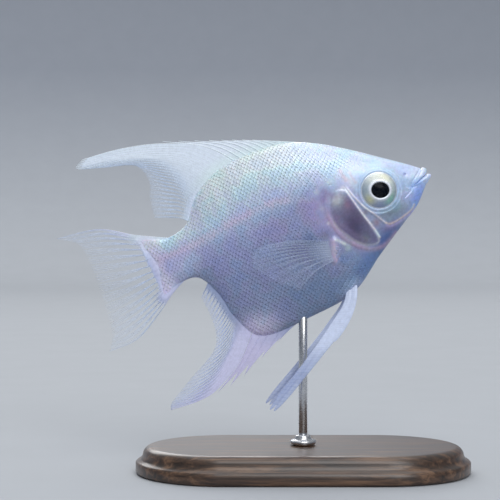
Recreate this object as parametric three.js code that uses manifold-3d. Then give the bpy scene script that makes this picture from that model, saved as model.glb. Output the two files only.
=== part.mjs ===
// Young freshwater angelfish (Pterophyllum scalare), a life-size display model on a stand.
// Millimetres, +Z up. The origin is the centre of the stand's underside. The fish swims towards
// +X with its head up; its right side faces -Y.
//
// The fish is drawn in its own frame, in percent of its standard length: x runs forward from the
// tail root, z runs up and y is the side. One group turns and lifts the whole fish on to the stand.
import * as THREE from "three";
import { mergeVertices } from "three/addons/utils/BufferGeometryUtils.js";
import Module from "manifold-3d";

const wasm = await Module();
wasm.setup();

// ---------------------------------------------------------------- driving dimensions
const STANDARD_LENGTH = 50; // snout to tail root
const PITCH = THREE.MathUtils.degToRad(20); // head above tail
const TAIL_ROOT = new THREE.Vector3(-24.5, 0, 41.2); // where the fish frame sits over the stand
const GAP = 0.3; // clearance between neighbouring pieces
const MM = STANDARD_LENGTH / 100; // one percent of the standard length

const STAND = {
  length: 62, // base, along the fish
  width: 34,
  height: 5,
  bevel: 0.8,
  rodRadius: 0.8,
  socketDepth: 3, // how far the rod goes into the belly
  collarRadius: 2.4,
  collarHeight: 1.6,
};
const EYE = { x: 79.5, z: -5.6, radius: 6.9, depth: 3.3, proud: 1.3 }; // percent, depth is half its own
const FIN = { membrane: 0.5, ray: 0.8, root: 1.3 }; // thicknesses in mm
const FAR = 60; // beyond the fish, in percent

// The lines plan: [top x, z], [widest x, z], [bottom x, z] and half width of each body section,
// from the tail root to the snout, in percent.
const SECTIONS = [
  { top: [0.8, 4.6], mid: [-1, -3.4], bottom: [-1, -12.6], half: 1.5 },
  { top: [8.8, 7.2], mid: [11, -2.8], bottom: [6.2, -13.2], half: 3.7 },
  { top: [15.4, 15.7], mid: [25, -1.8], bottom: [11.2, -21.5], half: 5.8 },
  { top: [26, 21.8], mid: [42, -1.2], bottom: [13.8, -31.5], half: 7.3 },
  { top: [40, 23.8], mid: [56, -1], bottom: [21, -41.5], half: 8.4 },
  { top: [53.5, 22.8], mid: [66, -1.5], bottom: [41, -41], half: 8.6 },
  { top: [65.4, 18.1], mid: [74, -2.5], bottom: [58.5, -37.9], half: 8.3 },
  { top: [76.8, 11.2], mid: [81.5, -3.5], bottom: [72.3, -28.3], half: 7.4 },
  { top: [86.2, 4.8], mid: [88, -4.5], bottom: [84.6, -20.2], half: 5.6 },
  { top: [93.6, -0.1], mid: [93.8, -5], bottom: [91.4, -15.8], half: 3.7 },
  { top: [97.2, -3], mid: [97, -5.8], bottom: [95.7, -10.8], half: 2.2 },
];
const KEEL = 1.15; // above 1 the section's edges are sharper than an ellipse's
const STATIONS = 28;
const RING = 20;

// ---------------------------------------------------------------- small helpers
// A point given in percent of the standard length.
const at = (x, y, z) => new THREE.Vector3(x * MM, y * MM, z * MM);
const inPlane = ([x, z]) => at(x, 0, z);

// A smooth curve through its points, read at t from 0 to 1.
function spline(points) {
  return new THREE.CatmullRomCurve3(points, false, "catmullrom", 0.5);
}

// A solid from a closed three.js geometry, turned to face outwards.
function toSolid(geometry) {
  const bare = geometry.clone();
  bare.deleteAttribute("normal");
  bare.deleteAttribute("uv");
  const merged = mergeVertices(bare, 1e-4);
  const vertProperties = new Float32Array(merged.attributes.position.array);
  const build = (triVerts) =>
    new wasm.Manifold(new wasm.Mesh({ numProp: 3, vertProperties, triVerts }));
  const solid = build(new Uint32Array(merged.index.array));
  return solid.volume() > 0
    ? solid
    : build(new Uint32Array(merged.index.array).reverse());
}

function toGeometry(solid) {
  const mesh = solid.getMesh();
  const geometry = new THREE.BufferGeometry();
  const points = new Float32Array(mesh.vertProperties);
  geometry.setAttribute("position", new THREE.BufferAttribute(points, 3));
  geometry.setIndex(new THREE.BufferAttribute(new Uint32Array(mesh.triVerts), 1));
  geometry.computeVertexNormals();
  return geometry;
}

// The largest piece of a solid, without the crumbs that a cut can leave.
function largest(solid) {
  const pieces = solid.decompose();
  return pieces.reduce((a, b) => (b.volume() > a.volume() ? b : a));
}

// A closed tube of quads from rings of points, each end shut by a fan about its own middle.
function loft(rings) {
  const ringSize = rings[0].length;
  const points = rings.flat();
  const index = [];
  for (let i = 0; i + 1 < rings.length; i++)
    for (let k = 0; k < ringSize; k++) {
      const a = i * ringSize + k;
      const b = i * ringSize + ((k + 1) % ringSize);
      index.push(a, b, b + ringSize, a, b + ringSize, a + ringSize);
    }
  const shut = (ring, first, flip) => {
    const middle = new THREE.Vector3();
    ring.forEach((p) => middle.addScaledVector(p, 1 / ringSize));
    points.push(middle);
    for (let k = 0; k < ringSize; k++) {
      const pair = [first + k, first + ((k + 1) % ringSize)];
      if (flip) pair.reverse();
      index.push(pair[1], pair[0], points.length - 1);
    }
  };
  shut(rings[0], 0, false);
  shut(rings.at(-1), (rings.length - 1) * ringSize, true);
  const geometry = new THREE.BufferGeometry().setFromPoints(points);
  geometry.setIndex(index);
  return geometry;
}

// ---------------------------------------------------------------- body
const lines = {
  top: spline(SECTIONS.map((s) => inPlane(s.top))),
  mid: spline(SECTIONS.map((s) => inPlane(s.mid))),
  bottom: spline(SECTIONS.map((s) => inPlane(s.bottom))),
  half: spline(SECTIONS.map((s, i) => new THREE.Vector3(i, s.half * MM, 0))),
};

// One section's ring of points, from the top round the right side, bottom and left side.
function bodyRing(t, grow) {
  const mid = lines.mid.getPoint(t);
  const half = lines.half.getPoint(t).y + grow;
  const ring = [];
  for (let k = 0; k < RING; k++) {
    const angle = (2 * Math.PI * k) / RING;
    const rise = Math.cos(angle);
    const edge = (rise >= 0 ? lines.top : lines.bottom).getPoint(t).sub(mid);
    edge.setLength(edge.length() + grow);
    const side = -Math.sign(Math.sin(angle)) * Math.abs(Math.sin(angle)) ** KEEL;
    ring.push(mid.clone().addScaledVector(edge, Math.abs(rise)).setY(side * half));
  }
  return ring;
}

// The whole body as one solid, or grown all round to cut clearances from its neighbours.
function wholeBody(grow = 0) {
  const rings = [];
  for (let i = 0; i <= STATIONS; i++) rings.push(bodyRing(i / STATIONS, grow));
  if (grow > 0) {
    const shifted = (ring, dx) => ring.map((p) => p.clone().setX(p.x + dx));
    rings.unshift(shifted(rings[0], -grow));
    rings.push(shifted(rings.at(-1), grow));
  }
  return toSolid(loft(rings));
}

// A prism through the fish from an outline in the side view, between two y values in mm.
function sidePrism(outline, yLow, yHigh, grow = 0) {
  const points = outline.map(([x, z]) => new THREE.Vector2(x * MM, z * MM));
  const shape = new THREE.Shape(grown(points, grow));
  const geometry = new THREE.ExtrudeGeometry(shape, {
    depth: yHigh - yLow,
    bevelEnabled: false,
  });
  return toSolid(geometry.rotateX(Math.PI / 2).translate(0, yHigh, 0));
}

// A closed outline moved outwards by a distance, point by point.
function grown(points, distance) {
  const area = THREE.ShapeUtils.area(points);
  return points.map((p, i) => {
    const before = points.at(i - 1);
    const after = points[(i + 1) % points.length];
    const along = after.clone().sub(before).normalize();
    const out = new THREE.Vector2(along.y, -along.x);
    return p.clone().addScaledVector(out, distance * Math.sign(area));
  });
}

// Outlines of the cuts, in the side view.
const HEAD_AREA = [
  [61, 40], [60.5, 18], [59, 6], [57.5, -6], [58, -15], [61.5, -22], [66.5, -27], [67, -33],
  [66, -50], [130, -50], [130, 40],
];
const STALK_AREA = [
  [8.5, FAR], [9.5, 0], [7, -8], [4, -14], [4, -FAR], [-FAR, -FAR], [-FAR, FAR],
];
const GILL_COVER = [
  [70.5, -1.5], [66.5, -0.2], [62.5, -3], [60.8, -8], [61.2, -13.5], [64, -18.5], [68.5, -21.8],
  [74, -23], [75.5, -20.5], [73.6, -15.5], [71.9, -9],
];
const UPPER_JAW = [[91.6, 10], [90.2, -5.6], [95, -6.3], [106, -4.8], [106, 10]];
const LOWER_JAW = [[90, -6.4], [95, -7.1], [106, -5.6], [106, -30], [86, -30], [85.5, -14]];
const COVER_DEPTH = 1.7; // the gill cover's inner face, from the middle of the fish, in mm

// A fleshy lip: a tube bent round the front of the jaw, thin at the corners of the mouth.
function lip({ x, z, back, spread, radius }) {
  const rings = [];
  const steps = 8;
  const sides = 8;
  for (let i = 0; i <= steps; i++) {
    const turn = Math.PI * (i / steps - 0.5);
    const centre = at(x - back * (1 - Math.cos(turn)), spread * Math.sin(turn), z);
    const size = radius * MM * (0.45 + 0.55 * Math.cos(turn));
    const out = new THREE.Vector3(Math.cos(turn), Math.sin(turn), 0);
    const ring = [];
    for (let k = 0; k < sides; k++) {
      const angle = (2 * Math.PI * k) / sides;
      const p = centre.clone().addScaledVector(out, size * 1.25 * Math.cos(angle));
      ring.push(p.setZ(p.z + size * Math.sin(angle)));
    }
    rings.push(ring);
  }
  return toSolid(loft(rings));
}

const UPPER_LIP = { x: 97.3, z: -4.2, back: 4, spread: 2.6, radius: 1.3 };
const LOWER_LIP = { x: 98.2, z: -7.3, back: 4.4, spread: 2.7, radius: 1.35 };

// ---------------------------------------------------------------- eyes
// side is -1 for the right eye and 1 for the left.
function eyeball(side, grow = 0) {
  const outer = bodyHalfWidthAtEye() + EYE.proud * MM;
  const geometry = new THREE.SphereGeometry(1, 18, 8).rotateX(Math.PI / 2);
  const wide = EYE.radius * MM + grow;
  geometry.scale(wide, EYE.depth * MM + grow, wide);
  const y = side * (outer - EYE.depth * MM);
  return toSolid(geometry.translate(EYE.x * MM, y, EYE.z * MM));
}

function bodyHalfWidthAtEye() {
  const index = SECTIONS.findIndex((s) => s.mid[0] > EYE.x);
  return lines.half.getPoint(index / (SECTIONS.length - 1)).y;
}

// ---------------------------------------------------------------- fins
// A fin is a fan of rays. Guide rays are drawn from root to tip, and the others lie between them.
const STEPS = 5; // points along a ray, after its root

function fanOut(guides, count) {
  const along = guides.map((g) => spline(g));
  const columns = 2 * count - 1; // a column on each ray, and one on the membrane between rays
  const sheet = [];
  for (let c = 0; c < columns; c++) {
    const column = [];
    const reach = c % 2 ? 0.965 : 1; // the membrane stops short of the ray tips
    for (let s = 0; s <= STEPS; s++) {
      const across = spline(along.map((a) => a.getPoint((s / STEPS) * reach)));
      column.push(across.getPoint(c / (columns - 1)));
    }
    sheet.push(column);
  }
  return sheet;
}

// A solid fin: both faces of the sheet, raised along each ray, and the rim between them.
// thin is the direction of the fin's thickness.
function finSolid(guides, count, thin = new THREE.Vector3(0, 1, 0)) {
  const sheet = fanOut(guides, count);
  const rows = STEPS + 1;
  const points = [];
  for (const face of [-1, 1])
    sheet.forEach((column, c) =>
      column.forEach((p, s) => {
        const outer = c % 2 ? FIN.membrane : FIN.ray;
        const thick = THREE.MathUtils.lerp(FIN.root, outer, Math.min(1, (2 * s) / STEPS));
        points.push(p.clone().addScaledVector(thin, (face * thick) / 2));
      }),
    );
  const back = sheet.length * rows;
  const index = [];
  const quad = (a, b, c, d) => index.push(a, b, c, a, c, d);
  for (let c = 0; c + 1 < sheet.length; c++)
    for (let s = 0; s < STEPS; s++) {
      const a = c * rows + s;
      quad(a, a + 1, a + 1 + rows, a + rows);
      quad(back + a, back + a + rows, back + a + 1 + rows, back + a + 1);
    }
  const rim = [];
  for (let c = 0; c < sheet.length; c++) rim.push(c * rows);
  for (let s = 1; s < rows; s++) rim.push((sheet.length - 1) * rows + s);
  for (let c = sheet.length - 2; c >= 0; c--) rim.push(c * rows + STEPS);
  for (let s = STEPS - 1; s > 0; s--) rim.push(s);
  rim.forEach((a, i) => {
    const b = rim[(i + 1) % rim.length];
    quad(a, b, b + back, a + back);
  });
  const geometry = new THREE.BufferGeometry().setFromPoints(points);
  geometry.setIndex(index);
  return toSolid(geometry);
}

// Guides of the fins in the fish's middle plane, each from root to tip, in percent.
const MEDIAN_FINS = {
  dorsal_fin_spines: {
    rays: 12,
    guides: [
      [[61, 18.5], [58, 21.2], [55, 22.8]],
      [[53, 20.5], [47.5, 25.5], [41.5, 28.3]],
      [[44.4, 21.5], [37, 28.5], [28.4, 32.8]],
      [[36.5, 21.5], [26, 31.5], [11, 38.8]],
    ],
  },
  dorsal_fin_rays: {
    rays: 18,
    guides: [
      [[35.7, 20.4], [25.3, 30.6], [10.4, 37.9], [-5, 41.6], [-19.6, 42.6]],
      [[29, 19.5], [16, 31.5], [-4, 38.2], [-22.4, 40.2]],
      [[25, 18], [15, 28], [3, 34.4], [-13.2, 37.3]],
      [[21.5, 16], [13, 24.5], [5, 29.8], [-2.1, 34.2]],
      [[18.5, 13.5], [11.5, 20], [6, 24], [1, 27]],
      [[16, 10.5], [10, 15], [4.5, 18], [-0.9, 20.5]],
      [[12.5, 7], [7.5, 9.8], [3, 11.8], [-1.6, 13.4]],
    ],
  },
  anal_fin_spines: {
    rays: 6,
    guides: [
      [[34, -39.5], [31, -42.6], [27.4, -44.8]],
      [[27, -39.5], [21.5, -45], [14.4, -51.2]],
      [[20, -38.5], [10.5, -48.2], [-1.2, -55.4]],
    ],
  },
  anal_fin_rays: {
    rays: 16,
    guides: [
      [[18.9, -38], [9.6, -47.3], [-1, -54.1], [-9, -56], [-20.1, -55.6]],
      [[17, -35], [6.5, -45], [-4, -51], [-18.4, -53]],
      [[17, -32.5], [9, -41], [0, -46], [-9.5, -47.4]],
      [[16.8, -29.5], [11.5, -35.6], [6.5, -39.2], [1.6, -41]],
      [[16.5, -25.5], [12, -30], [8.5, -33], [5, -35]],
      [[14, -20], [10.5, -24], [7.8, -26.4], [5.4, -28.4]],
      [[11, -14], [8, -17], [6, -19], [4.6, -20.6]],
    ],
  },
  tail_fin: {
    rays: 14,
    guides: [
      [[4, 3.2], [-10.4, 9.6], [-22.7, 16.4], [-38.4, 18.4]],
      [[3, 1], [-10, 6.3], [-21, 10.9], [-31.5, 13.6]],
      [[2, -2], [-9.5, 0.8], [-19.5, 3.3], [-30, 5.4]],
      [[2, -5], [-9.5, -5.2], [-19.5, -5.4], [-29.8, -4.4]],
      [[2, -8], [-9, -10.6], [-19, -13.2], [-30.4, -14.8]],
      [[2, -9.6], [-8.5, -14.6], [-19.5, -19.4], [-31.2, -22.4]],
      [[2.5, -11.4], [-5, -15.2], [-12.5, -20.6], [-23, -26.6], [-34.1, -27.4]],
    ],
  },
};

// The paired fins, drawn on the right side. y is how far out each end of a guide lies.
const PECTORAL_FIN = {
  rays: 9,
  guides: [
    [[58, 7.6, -18], [49.5, 9, -14.4], [40.9, 10.2, -11.3]],
    [[57.6, 7.5, -19.2], [44, 9.6, -13.8], [31, 11.2, -10.4]],
    [[57.4, 7.4, -20.6], [42, 9.7, -16], [26, 11.6, -13.6]],
    [[57.4, 7.2, -22.2], [43, 9.4, -19.6], [28, 11.2, -20]],
    [[57.6, 6.9, -24], [48, 8.6, -25.4], [39, 9.8, -30]],
  ],
};
const PELVIC_FIN = {
  rays: 4,
  front: [[60.4, 2.4, -35.5], [52.6, 4, -47.4], [41.4, 5.6, -54.9], [16.2, 6.8, -69.3]],
  back: [[57.2, 2.2, -35.5], [47.4, 3.6, -45.6], [35.6, 5.2, -53.8], [13.4, 6.4, -66.8]],
};
const FAR_PELVIC_SWING = THREE.MathUtils.degToRad(-1.6); // the left fin trails a little

const mirrorOf = (guides, side) =>
  guides.map((guide) => guide.map(([x, y, z]) => at(x, side * y, z)));

function pectoralFin(side) {
  const thin = new THREE.Vector3(0.15, side, 0).normalize();
  return finSolid(mirrorOf(PECTORAL_FIN.guides, side), PECTORAL_FIN.rays, thin);
}

function pelvicFin(side) {
  const guides = mirrorOf([PELVIC_FIN.front, PELVIC_FIN.back], side);
  const hinge = guides[0][0].clone();
  const swing = side > 0 ? FAR_PELVIC_SWING : 0;
  guides.flat().forEach((p) => {
    p.sub(hinge).applyAxisAngle(new THREE.Vector3(0, 1, 0), -swing).add(hinge);
  });
  return finSolid(guides, PELVIC_FIN.rays, new THREE.Vector3(0, side, 0));
}

// ---------------------------------------------------------------- stand
function standRod() {
  const top = bellyHeight() + STAND.socketDepth;
  const bottom = STAND.height + GAP;
  const geometry = new THREE.CylinderGeometry(STAND.rodRadius, STAND.rodRadius, top - bottom, 20);
  return geometry.rotateX(Math.PI / 2).translate(0, 0, (top + bottom) / 2);
}

// The collar is a stepped ring round the rod's foot.
function standCollar() {
  const inner = STAND.rodRadius + GAP;
  const low = STAND.height + GAP;
  const high = low + STAND.collarHeight;
  const profile = [
    [inner, low],
    [STAND.collarRadius, low],
    [STAND.collarRadius, low + STAND.collarHeight * 0.45],
    [STAND.collarRadius * 0.62, high],
    [inner, high],
    [inner, low],
  ].map(([r, z]) => new THREE.Vector2(r, z));
  return new THREE.LatheGeometry(profile, 24).rotateX(Math.PI / 2);
}

// The base is a slab with round ends and an eased top edge.
function standBase() {
  const round = STAND.width / 2 - STAND.bevel;
  const straight = (STAND.length - STAND.width) / 2;
  const shape = new THREE.Shape();
  shape.absarc(straight, 0, round, -Math.PI / 2, Math.PI / 2);
  shape.absarc(-straight, 0, round, Math.PI / 2, (3 * Math.PI) / 2);
  const geometry = new THREE.ExtrudeGeometry(shape, {
    depth: STAND.height - 2 * STAND.bevel,
    bevelThickness: STAND.bevel,
    bevelSize: STAND.bevel,
    bevelSegments: 2,
    curveSegments: 9,
  });
  return geometry.translate(0, 0, STAND.bevel);
}

// Height of the belly over the stand's middle.
function bellyHeight() {
  const place = fish.matrixWorld;
  let best = Infinity;
  let height = 0;
  for (let i = 0; i <= 200; i++) {
    const p = lines.bottom.getPoint(i / 200).applyMatrix4(place);
    if (Math.abs(p.x) < best) {
      best = Math.abs(p.x);
      height = p.z;
    }
  }
  return height;
}

// ---------------------------------------------------------------- assembly
const PEARL = { color: 0xdde4f0, roughness: 0.35, metalness: 0.1 };
const FLANK = { color: 0xb4b8d0, roughness: 0.35, metalness: 0.1 };
const GILL = { color: 0x8f88aa, roughness: 0.35, metalness: 0.1 };
const FIN_FINISH = { color: 0xd2dbf0, roughness: 0.45, metalness: 0 };
const EYE_FINISH = { color: 0x23272c, roughness: 0.1, metalness: 0 };
const WOOD = { color: 0x3a2618, roughness: 0.45, metalness: 0 };
const STEEL = { color: 0xb9bcc0, roughness: 0.3, metalness: 1 };

const model = new THREE.Group();
const fish = new THREE.Group();
fish.position.copy(TAIL_ROOT);
fish.rotation.y = -PITCH;
model.add(fish);
model.updateMatrixWorld(true);

function addPiece(parent, name, geometry, finish) {
  const mesh = new THREE.Mesh(geometry, new THREE.MeshStandardMaterial(finish));
  mesh.name = name;
  parent.add(mesh);
}

const addFlesh = (name, solid, finish) => addPiece(fish, name, toGeometry(largest(solid)), finish);

// The body is made whole, relieved for the eyes and the rod, and parted with thin cuts.
const rodHole = new THREE.CylinderGeometry(STAND.rodRadius + GAP, STAND.rodRadius + GAP, 60, 20)
  .rotateX(Math.PI / 2)
  .translate(0, 0, bellyHeight() + STAND.socketDepth + GAP - 30)
  .applyMatrix4(fish.matrixWorld.clone().invert());
const everywhere = 2 * FAR * MM;
const through = (outline, grow = 0) => sidePrism(outline, -everywhere, everywhere, grow);
let rest = wholeBody().subtract(toSolid(rodHole));
for (const side of [-1, 1]) rest = rest.subtract(eyeball(side, GAP));

for (const [name, outline, lipShape] of [
  ["upper_jaw", UPPER_JAW, UPPER_LIP],
  ["lower_jaw", LOWER_JAW, LOWER_LIP],
]) {
  addFlesh(name, rest.intersect(through(outline)).add(lip(lipShape)), PEARL);
}
for (const outline of [UPPER_JAW, LOWER_JAW]) rest = rest.subtract(through(outline, GAP));

for (const [name, side] of [["gill_cover_right", -1], ["gill_cover_left", 1]]) {
  const span = [side * COVER_DEPTH, side * everywhere].sort((a, b) => a - b);
  const pocket = [side * (COVER_DEPTH - GAP), side * everywhere].sort((a, b) => a - b);
  addFlesh(name, rest.intersect(sidePrism(GILL_COVER, ...span)), GILL);
  rest = rest.subtract(sidePrism(GILL_COVER, ...pocket, GAP));
}
addFlesh("head", rest.intersect(through(HEAD_AREA)), PEARL);
rest = rest.subtract(through(HEAD_AREA, GAP));
addFlesh("tail_stalk", rest.intersect(through(STALK_AREA)), FLANK);
addFlesh("trunk", rest.subtract(through(STALK_AREA, GAP)), FLANK);

for (const [name, side] of [["eye_right", -1], ["eye_left", 1]])
  addFlesh(name, eyeball(side), EYE_FINISH);

// Fins end a gap outside the body.
const clearance = wholeBody(GAP);
for (const [name, fin] of Object.entries(MEDIAN_FINS)) {
  const solid = finSolid(fin.guides.map((guide) => guide.map(inPlane)), fin.rays);
  addFlesh(name, solid.subtract(clearance), FIN_FINISH);
}
for (const [word, side] of [["right", -1], ["left", 1]]) {
  addFlesh("pectoral_fin_" + word, pectoralFin(side).subtract(clearance), FIN_FINISH);
  addFlesh("pelvic_fin_" + word, pelvicFin(side).subtract(clearance), FIN_FINISH);
}

addPiece(model, "stand_base", standBase(), WOOD);
addPiece(model, "stand_collar", standCollar(), STEEL);
addPiece(model, "stand_rod", standRod(), STEEL);

export default model;
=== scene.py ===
"""Looks of a life-size young angelfish on a plain display stand.

Everything on the fish is worked out in its own frame, in percent of its standard length: x runs
forward from the tail root, z up, and y out to a side. world() turns that frame head up and carries
it on to the stand, in metres.
"""

import math

import bmesh
import bpy
import numpy as np
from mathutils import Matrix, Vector

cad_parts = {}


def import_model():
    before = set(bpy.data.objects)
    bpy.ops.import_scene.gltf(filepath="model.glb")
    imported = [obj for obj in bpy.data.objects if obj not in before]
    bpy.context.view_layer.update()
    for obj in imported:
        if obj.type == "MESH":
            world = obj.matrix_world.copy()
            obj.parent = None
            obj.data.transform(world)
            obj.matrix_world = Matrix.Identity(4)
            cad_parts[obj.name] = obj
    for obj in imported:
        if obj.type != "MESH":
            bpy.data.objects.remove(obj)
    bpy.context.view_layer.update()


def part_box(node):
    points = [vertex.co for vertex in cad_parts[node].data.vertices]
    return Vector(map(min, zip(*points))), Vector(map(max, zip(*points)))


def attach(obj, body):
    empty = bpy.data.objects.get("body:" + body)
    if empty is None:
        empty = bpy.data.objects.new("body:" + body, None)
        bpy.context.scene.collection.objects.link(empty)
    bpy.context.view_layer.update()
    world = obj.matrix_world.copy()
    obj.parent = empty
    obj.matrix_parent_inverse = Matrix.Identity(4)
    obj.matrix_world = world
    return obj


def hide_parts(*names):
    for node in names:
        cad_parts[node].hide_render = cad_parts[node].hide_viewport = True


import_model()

RNG = np.random.default_rng(7)

# -------- driving dimensions
PERCENT = 0.0005  # one percent of a standard length of 50 mm
MM = 0.001
PITCH = math.radians(20)
TAIL_ROOT = (-24.5 * MM, 0.0, 41.2 * MM)
RIGHT, LEFT = -1, 1
SIDES = (("right", RIGHT), ("left", LEFT))

# The lines plan: top, widest and bottom place (x, z), half width, and how round the section is
# (below 1 it is rounder than an ellipse, above 1 its edges are sharper), from tail to snout.
SECTIONS = [
    ((-10.4, 8.2), (-6.4, -3.8), (-8.6, -15.6), 0.14, 1.0),
    ((-4, 5.7), (-3.6, -3.6), (-4.6, -14), 0.75, 1.1),
    ((0.8, 4.6), (-0.6, -3.4), (-0.8, -12.6), 1.6, 1.2),
    ((8.8, 7.2), (11, -2.8), (6.2, -13.2), 3.7, 1.3),
    ((15.4, 15.7), (25, -1.8), (11.2, -21.5), 5.8, 1.35),
    ((26, 21.8), (40, -1.2), (13.8, -31.5), 7.3, 1.35),
    ((40, 23.8), (53, -1), (21, -41.5), 8.3, 1.3),
    ((53.5, 22.8), (63.5, -1.5), (41, -41), 8.5, 1.2),
    ((65.4, 18.1), (72, -2.5), (58.5, -37.9), 8.2, 1.1),
    ((76.8, 11.2), (79.5, -4.2), (72.3, -28.3), 7.2, 1.0),
    ((86.2, 4.8), (85.2, -6), (84.6, -20.2), 5.6, 0.95),
    ((93.2, 0), (89.2, -7.6), (91.6, -15.6), 4.0, 0.9),
    ((97.2, -3), (91.6, -8.8), (97.2, -9.6), 3.0, 0.9),
]
LAST = len(SECTIONS) - 1
HEAD_START = 6.4 / LAST  # the place of the head's first row, from 0 at the tail to 1

EYE = (79.4, -5.6)
EYE_RADIUS = 6.8
EYE_TURN = math.radians(9)  # the eyes look a little forward, as the head narrows
EYE_LEVEL = 7.35  # how far out the middle of an eye's rim is
RIM_WIDTH = 4  # how far from an eye the skin starts to rise or fall to its rim
SOCKET_DEPTH = 2.6
PUPIL = (79.8, -5.7)
PUPIL_RADIUS = 3.2

LATERAL_LINE = [(-6, -1.8), (0, -1.6), (7, -1.2), (17.5, 0.3), (30, 2.6), (40, 3.2), (51, 1.6),
                (60, -2.6), (66, -4.5)]

OPERCLE = [(67.6, -1.2), (64.8, -0.4), (62.2, -2), (60.5, -5.6), (59.8, -9.2), (60.3, -13),
           (62.5, -16.8), (65, -20.2), (68, -22.6), (71.4, -23.7), (73.4, -22.8), (73, -19),
           (71.9, -15), (70.2, -9.6), (68.8, -4.8)]
GILL_EDGE = [(63, 1.8), (60.4, -0.8), (58.8, -5), (58.7, -10), (60, -15), (62.6, -19.4),
             (66, -22.8), (69.8, -24.9), (73.8, -25.5), (77.4, -24.4), (80.4, -22.6)]
OUTER_RIDGE = [(67.4, 0.6), (68, -2), (69.4, -7.1), (71.2, -12.9), (72.5, -16.6), (73.4, -19.4),
               (74, -21.9)]
INNER_RIDGE = [(68.4, -0.4), (68.9, -2.3), (70.2, -5.7), (72.3, -9.7), (75.3, -14), (77.9, -17.8)]
CHEEK_EDGE = [(77.9, -17.8), (79.2, -18.6), (82.3, -18.4), (86.5, -17.3), (88.8, -16.4),
              (90.3, -15)]
SNOUT_GROOVE = [(97.0, -3.4), (95, -4.9), (93, -6.4), (92, -7.6)]
JAW_GROOVE = [(92, -8.2), (90.9, -9.6), (89.6, -10.4), (87.6, -11.4)]
PORES = [(91.8, -7.1), (90.1, -9.3), (93.9, -12.1), (91.2, -13.9), (87.8, -15.6),
         (72.2, -12.2), (74.4, -16.4), (76.8, -19.9), (81.4, -20.2)]
NOSTRIL = (90.7, -3.3)

# The scales of the body stop at this line, where the head's bare or small-scaled skin begins.
SCALED = [(-14, 30), (60, 40), (84, 9), (80, 6.4), (75, 4.6), (71, 3.2), (66.5, 2.6), (62.4, 1.6),
          (59.2, -1.5), (57.8, -6), (57.8, -11), (59.4, -15.6), (62, -19.8), (65.4, -23.3),
          (69.5, -25.6), (74, -26.8), (78, -26), (84, -23), (84, -60), (-14, -60)]
HEAD_LINE = SCALED[2:18]
LOBE = [(57.4, -17.6), (56.4, -21), (55.8, -24.2)]  # the bare base of a pectoral fin
SPARKLE = [(58.4, -17.2), (60.9, -19.8)]  # the corner below a gill cover, where a highlight is painted


# -------- curves and fields
def extended(points):
    """Points with one more at either end, in line with the two next to it."""
    p = np.asarray(points, float)
    return np.concatenate([2 * p[:1] - p[1:2], p, 2 * p[-1:] - p[-2:-1]])


def between(a, b, c, d, w):
    """Places from b (w is 0) to c (w is 1) on a smooth curve through a, b, c and d."""
    bend = 2 * a - 5 * b + 4 * c - d
    return 0.5 * (2 * b + (c - a) * w + bend * w**2 + (3 * b - a - 3 * c + d) * w**3)


def spline(points, t):
    """Places on a smooth curve through the points, for t from 0 to 1. Points may be arrays."""
    p = extended(points)
    x = np.clip(np.asarray(t, float), 0, 1) * (len(p) - 3)
    i = np.minimum(x.astype(int), len(p) - 4)
    w = (x - i).reshape(x.shape + (1,) * (p.ndim - 1))
    return between(p[i], p[i + 1], p[i + 2], p[i + 3], w)


def finely(path, steps=6):
    """A smooth path through the points, with so many steps to a point."""
    return spline(path, np.linspace(0, 1, steps * len(path)))


def smooth(low, high, value):
    """0 below low, 1 above high, and an S between. It falls instead where low is above high."""
    t = np.clip((np.asarray(value, float) - low) / (high - low), 0, 1)
    return t * t * (3 - 2 * t)


def bead(distance, width):
    return np.exp(-((distance / width) ** 2))


def distance_to(path, x, z):
    """Distance of each place from a smooth path."""
    p = finely(path)
    best = np.full(np.shape(x), np.inf)
    for (ax, az), (bx, bz) in zip(p[:-1], p[1:]):
        dx, dz = bx - ax, bz - az
        t = np.clip(((x - ax) * dx + (z - az) * dz) / (dx * dx + dz * dz), 0, 1)
        best = np.minimum(best, np.hypot(x - ax - t * dx, z - az - t * dz))
    return best


def inside(path, x, z):
    """True for the places inside a closed outline."""
    p = np.asarray(path, float)
    found = np.zeros(np.shape(x), bool)
    for (ax, az), (bx, bz) in zip(p, np.roll(p, -1, axis=0)):
        crosses = (az > z) != (bz > z)
        reach = ax + (z - az) * (bx - ax) / (bz - az if bz != az else 1e-9)
        found ^= crosses & (x < reach)
    return found


def depth_in(path, x, z):
    """Distance from a closed smooth outline, below 0 inside it."""
    closed = [*path, path[0]]
    within = inside(finely(closed)[:-1], x, z)
    return distance_to(closed, x, z) * np.where(within, -1, 1)


def marks(x, z):
    """Two makers of soft marks on the side view: line(path, width) and spot(place, size)."""
    def line(path, width):
        return bead(distance_to(path, x, z), width)

    def spot(place, size):
        return bead(np.hypot(x - place[0], z - place[1]), size)

    return line, spot


def turned(a, b, angle):
    """Two coordinates turned by an angle, from the first towards the second."""
    c, s = math.cos(angle), math.sin(angle)
    return a * c - b * s, a * s + b * c


def world(p):
    """Places in the fish's frame, in percent, as places in the model, in metres."""
    p = np.asarray(p, float) * PERCENT
    x, z = turned(p[..., 0], p[..., 2], PITCH)
    return joined(x, p[..., 1], z) + TAIL_ROOT


def joined(*columns):
    """Arrays, or single values, side by side along a last axis of their own."""
    return np.stack(np.broadcast_arrays(*columns), axis=-1)


def unit(v):
    return v / np.maximum(np.linalg.norm(v, axis=-1, keepdims=True), 1e-9)


def blend(a, b, factor):
    return a + (b - a) * factor[..., None]


# -------- colours
def linear(colour):
    """An sRGB colour of 0 to 255 as linear light."""
    c = np.asarray(colour, float) / 255
    return np.where(c <= 0.04045, c / 12.92, ((c + 0.055) / 1.055) ** 2.4)


# From the belly up to the back: the fish's own colours, with painted shade making the flank darker
# below than the back, as under light from above.
FLANK_TONES_AND_SHADE = [(0, (150, 158, 182)), (0.2, (146, 152, 180)), (0.42, (152, 154, 186)),
               (0.58, (172, 174, 202)), (0.74, (202, 212, 230)), (0.88, (222, 232, 243)),
               (1, (232, 240, 247))]

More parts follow.
